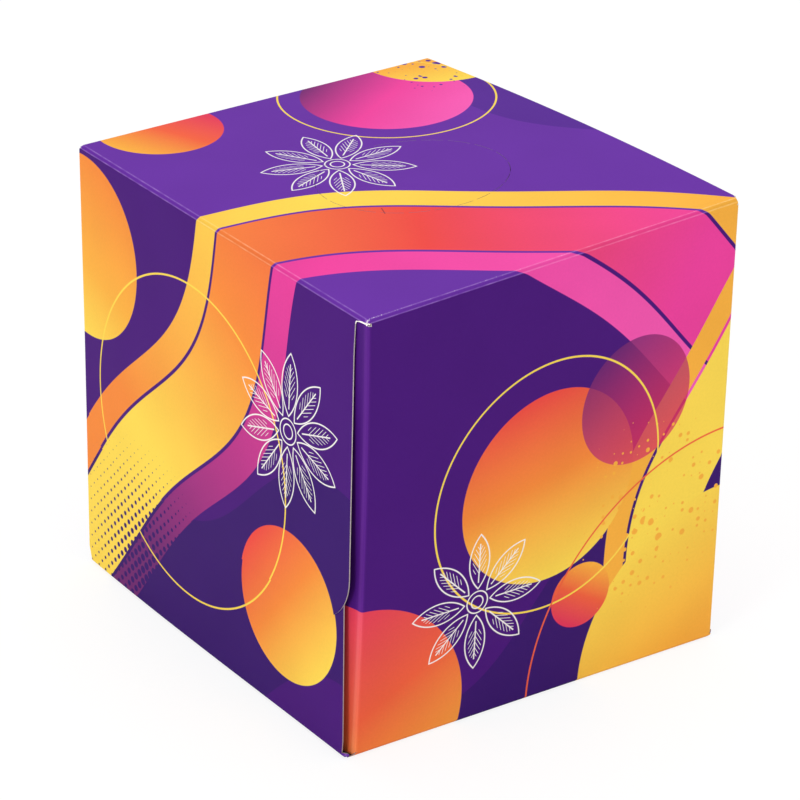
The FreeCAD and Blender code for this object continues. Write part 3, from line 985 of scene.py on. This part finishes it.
def make_printed_board():
    """Printed, satin-varnished board: ink a little worn along the creases, painted light and shade, paper
    tooth in its surface.
    """
    nodes = Nodes("printed_board")
    sheet, u, v = paint_sheet(nodes)
    place = sheet.place

    # How far a place is past the top panel's edges, and whether it is beyond its front or back edge
    past_u, past_v = abs(u) - HALF_LENGTH, abs(v) - HALF_DEPTH
    beyond = sheet.inside(past_v * -1)
    across = sheet.inside(past_u)

    # Soft lines where the ink has worn on the ridges of the creases, with painted highlights on them,
    # here more and there less
    patch = nodes.noise(place, 0.35, 3.0)
    wear_and_highlight_patches = patch * 1.4 - 0.2
    worn_and_highlit = sheet.lines(past_u, END_WEAR_AND_HIGHLIGHT) * (1 - beyond) + sheet.lines(past_v, LONG_WEAR_AND_HIGHLIGHT) * across
    worn_and_highlit = worn_and_highlit * wear_and_highlight_patches

    # The dust flaps, by the distance past their crease: a painted sheen at the bend, painted shade
    # further in
    share = (HALF_DEPTH + HEIGHT - DUST_GAP_LEVEL - abs(v)) * (1 / (HEIGHT - DUST_GAP_LEVEL))
    seen_gap = DUST_GAP - share * share * (DUST_GAP - DUST_GAP_TOP)
    gap = nodes.add("ShaderNodeMix", {}, {0: sheet.inside(u), 2: DUST_GAP_PLAIN, 3: seen_gap})
    fold = past_u + gap
    painted_sheen = sheet.lines(fold, BEND_PAINTED_SHEEN) * beyond
    # Painted shade of the slot between the dust flap and the flap over it
    deep = nodes.math("MULTIPLY_ADD", fold, 0.3, -1.2, clamp=True) * beyond

    # Ink tone, with painted shade: a little darker on the creases' ridges and deep in the dust flaps
    mottle = nodes.noise(place, 1.4, 4.0)
    cloud = nodes.noise(place, 0.05, 1.0)
    end_ridge = sheet.soft(past_u, RIDGE_HALF) * (1 - beyond)
    ridge = nodes.math("MAXIMUM", end_ridge, sheet.soft(past_v, RIDGE_HALF) * across)
    tone = mottle * 0.10 + cloud * 0.12 + 0.89 - ridge * 0.16 - deep * 0.7
    value = nodes.add("ShaderNodeHueSaturation", {}, {"Value": tone, "Color": sheet.colour})
    bright = nodes.add("ShaderNodeGamma", {}, {0: value, 1: 1 - painted_sheen * 0.2 - worn_and_highlit * 1.2})
    lit = nodes.blend(worn_and_highlit * 0.35, bright, CHALK)

    # Flecks of bare board on the crease near the corner
    fleck = nodes.noise(place, 2.2, 3.0)
    corner = sheet.distance((-HALF_LENGTH, -HALF_DEPTH))
    near = nodes.math("MULTIPLY_ADD", corner, -1 / FLECK_REACH, 1.0, clamp=True)
    on_line = sheet.inside(abs(past_v + FLECK_LINE[0]) - FLECK_LINE[1]) * across
    bare = sheet.inside(0.7 - fleck - near * 0.17) * on_line
    colour = nodes.blend(bare * 0.6, lit, CHALK)

    # The short slit where the tearing starts: painted dark, as the shade inside it
    start = nodes.add("ShaderNodeMapping", {"vector_type": "TEXTURE"}, {
        "Vector": place, "Location": TEAR_MIDDLE, "Rotation": (0, 0, math.radians(TEAR_TURN))})
    parts = nodes.add("ShaderNodeSeparateXYZ", {}, {0: start})
    half_length, half_width = TEAR_HALVES
    slit = sheet.inside(abs(parts) - half_length) * sheet.inside(abs(parts.beside("Y")) - half_width)
    colour = nodes.blend(slit * 0.7, colour, ink(40, 16, 60))

    # Surface: fine tooth and slow waviness
    tooth = nodes.noise(place, 5.0, 3.0)
    sway = nodes.noise(place, 0.03, 1.0)
    height = tooth * 0.006 + sway * 0.5
    bump = nodes.add("ShaderNodeBump", {}, {"Strength": 1.0, "Distance": MM, "Height": height})
    rough = mottle * 0.08 + worn_and_highlit * 0.2 + 0.40
    return nodes.finish({
        "Base Color": colour,
        "Roughness": rough,
        "Specular IOR Level": 0.04,
        "Normal": bump})


def make_bare_board():
    """The unprinted inside: grey board with fibres in its surface, with painted shade at the bottom."""
    nodes = Nodes("bare_board")
    place = nodes.add("ShaderNodeTexCoord", {}, {}, "Object")
    fibre = nodes.noise(place, 900.0, 4.0)
    speck = nodes.noise(place, 2500.0, 2.0)
    level = nodes.add("ShaderNodeSeparateXYZ", {}, {0: place}, "Z") * (1 / MM)
    colour = nodes.ramp(fibre, [(0.3, ink(118, 109, 99)), (0.7, ink(150, 141, 131))])
    # Painted shade: darker towards the bottom
    low = nodes.math("MULTIPLY_ADD", level, -0.25, 0.9, clamp=True)
    colour = nodes.blend(low, colour, ink(44, 34, 30))
    bump = nodes.add("ShaderNodeBump", {}, {"Strength": 0.4, "Distance": MM * 0.05, "Height": speck})
    return nodes.finish({
        "Base Color": colour,
        "Roughness": 0.85,
        "Specular IOR Level": 0.2,
        "Normal": bump})


# How deep below the top the cut edges are free of painted shade, and how far from the middle the
# perforation reaches
UNSHADED_DEPTH = 3.5
PERFORATION_REACH = 35.0


def make_cut_edge(name, lit):
    """A cut edge: off-white pulp, with painted shade lower down, and in the perforation painted shade
    tinted by ink.

    Light that passes through loose fibres is given as a little light of their own.
    """
    nodes = Nodes(name)
    place = nodes.add("ShaderNodeTexCoord", {}, {}, "Object")
    level = nodes.add("ShaderNodeSeparateXYZ", {}, {0: place}, "Z") * (1 / MM)
    pulp = nodes.noise(place, 1800.0, 4.0)
    unshaded_pulp = nodes.ramp(pulp, [(0.3, ink(224, 212, 206)), (0.6, ink(250, 245, 238))])
    # Painted shade: darker lower down, and none near the top
    shade_lower_down = nodes.math("MULTIPLY_ADD", level, -0.004, 0.62, clamp=True)
    top = nodes.math("MULTIPLY_ADD", level, 1.0, UNSHADED_DEPTH - HEIGHT, clamp=True)
    colour = nodes.blend((shade_lower_down + 0.16) * (1 - top), unshaded_pulp, ink(128, 100, 100))
    # In the perforation: painted shade, tinted by the ink
    from_middle = nodes.vector("LENGTH", nodes.vector("MULTIPLY", place, (1, 1, 0)), output=1)
    slit = nodes.math("LESS_THAN", from_middle, PERFORATION_REACH * MM)
    colour = nodes.blend(slit * 0.75, colour, ink(110, 70, 120))
    bump = nodes.add("ShaderNodeBump", {}, {"Strength": 0.6, "Distance": MM * 0.08, "Height": pulp})
    inputs = {"Base Color": colour, "Roughness": 0.9, "Specular IOR Level": 0.2, "Normal": bump}
    if lit:
        inputs["Emission Color"] = colour
        inputs["Emission Strength"] = lit
    return nodes.finish(inputs)


def make_floor():
    """A plain white floor with a faint shadow: partly plain white to the camera, clear from below."""
    nodes = Nodes("studio_floor")
    seen = nodes.add("ShaderNodeLightPath", {}, {}, "Is Camera Ray")
    paint = nodes.add("ShaderNodeBsdfDiffuse", {}, {"Color": (0.9, 0.9, 0.9, 1)})
    white = nodes.add("ShaderNodeEmission", {}, {"Color": (1, 1, 1, 1), "Strength": 1.05})
    both = nodes.add("ShaderNodeMixShader", {}, {0: seen * FLOOR_EMIT, 1: paint, 2: white})
    under = nodes.add("ShaderNodeNewGeometry", {}, {}, "Backfacing")
    clear = nodes.add("ShaderNodeBsdfTransparent", {}, {})
    one_way = nodes.add("ShaderNodeMixShader", {}, {0: under, 1: both, 2: clear})
    nodes.add("ShaderNodeOutputMaterial", {}, {0: one_way})
    turns = ((-1, -1), (1, -1), (1, 1), (-1, 1))
    corners = [(FLOOR_HALF * x, FLOOR_HALF * y, -FLOOR_DROP) for x, y in turns]
    mesh = bpy.data.meshes.new("studio_floor")
    mesh.from_pydata(corners, [], [(0, 1, 2, 3)])
    mesh.materials.append(nodes.material)
    floor = bpy.data.objects.new("studio_floor", mesh)
    bpy.context.collection.objects.link(floor)


def make_lamp(name, place, size, power):
    """A square soft lamp that looks at the carton's middle."""
    data = bpy.data.lights.new(name, "AREA")
    data.shape = "SQUARE"
    data.size = size
    data.energy = power
    lamp = bpy.data.objects.new(name, data)
    lamp.location = place
    toward = Vector((0, 0, HEIGHT * MM / 2)) - Vector(place)
    lamp.rotation_euler = toward.to_track_quat("-Z", "Y").to_euler()
    bpy.context.collection.objects.link(lamp)


def make_light():
    """A white surround with a large lamp overhead and one before each seen side."""
    world = bpy.data.worlds.new("studio")
    world.use_nodes = True
    surround = world.node_tree.nodes["Background"]
    surround.inputs["Color"].default_value = (1, 1, 1, 1)
    surround.inputs["Strength"].default_value = WORLD_LEVEL
    bpy.context.scene.world = world
    for name, place, size, power in LAMPS:
        make_lamp(name, place, size, power)


def make_camera():
    """The camera, turned by its azimuth, elevation and roll."""
    turn, rise, roll = (math.radians(angle) for angle in (CAMERA_AZIMUTH, CAMERA_ELEVATION, CAMERA_ROLL))
    forward = Vector((-math.sin(turn) * math.cos(rise), math.cos(turn) * math.cos(rise), -math.sin(rise)))
    right = Vector((math.cos(turn), math.sin(turn), 0))
    up = right.cross(forward)
    right, up = right * math.cos(roll) + up * math.sin(roll), up * math.cos(roll) - right * math.sin(roll)
    data = bpy.data.cameras.new("camera")
    data.lens = LENS
    data.sensor_width = 36.0
    camera = bpy.data.objects.new("camera", data)
    basis = Matrix((right, up, -forward)).transposed().to_4x4()
    basis.translation = Vector(CAMERA_PLACE) * MM
    camera.matrix_world = basis
    bpy.context.collection.objects.link(camera)
    bpy.context.scene.camera = camera


def main():
    """The carton and its loose fibres, on the floor, in the light and before the camera."""
    bpy.context.scene.view_settings.view_transform = "Standard"
    carton = make_board()
    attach(carton, "root")
    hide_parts(NODE)
    fibres = make_fibres()
    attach(fibres, "root")
    make_floor()
    make_light()
    make_camera()


main()
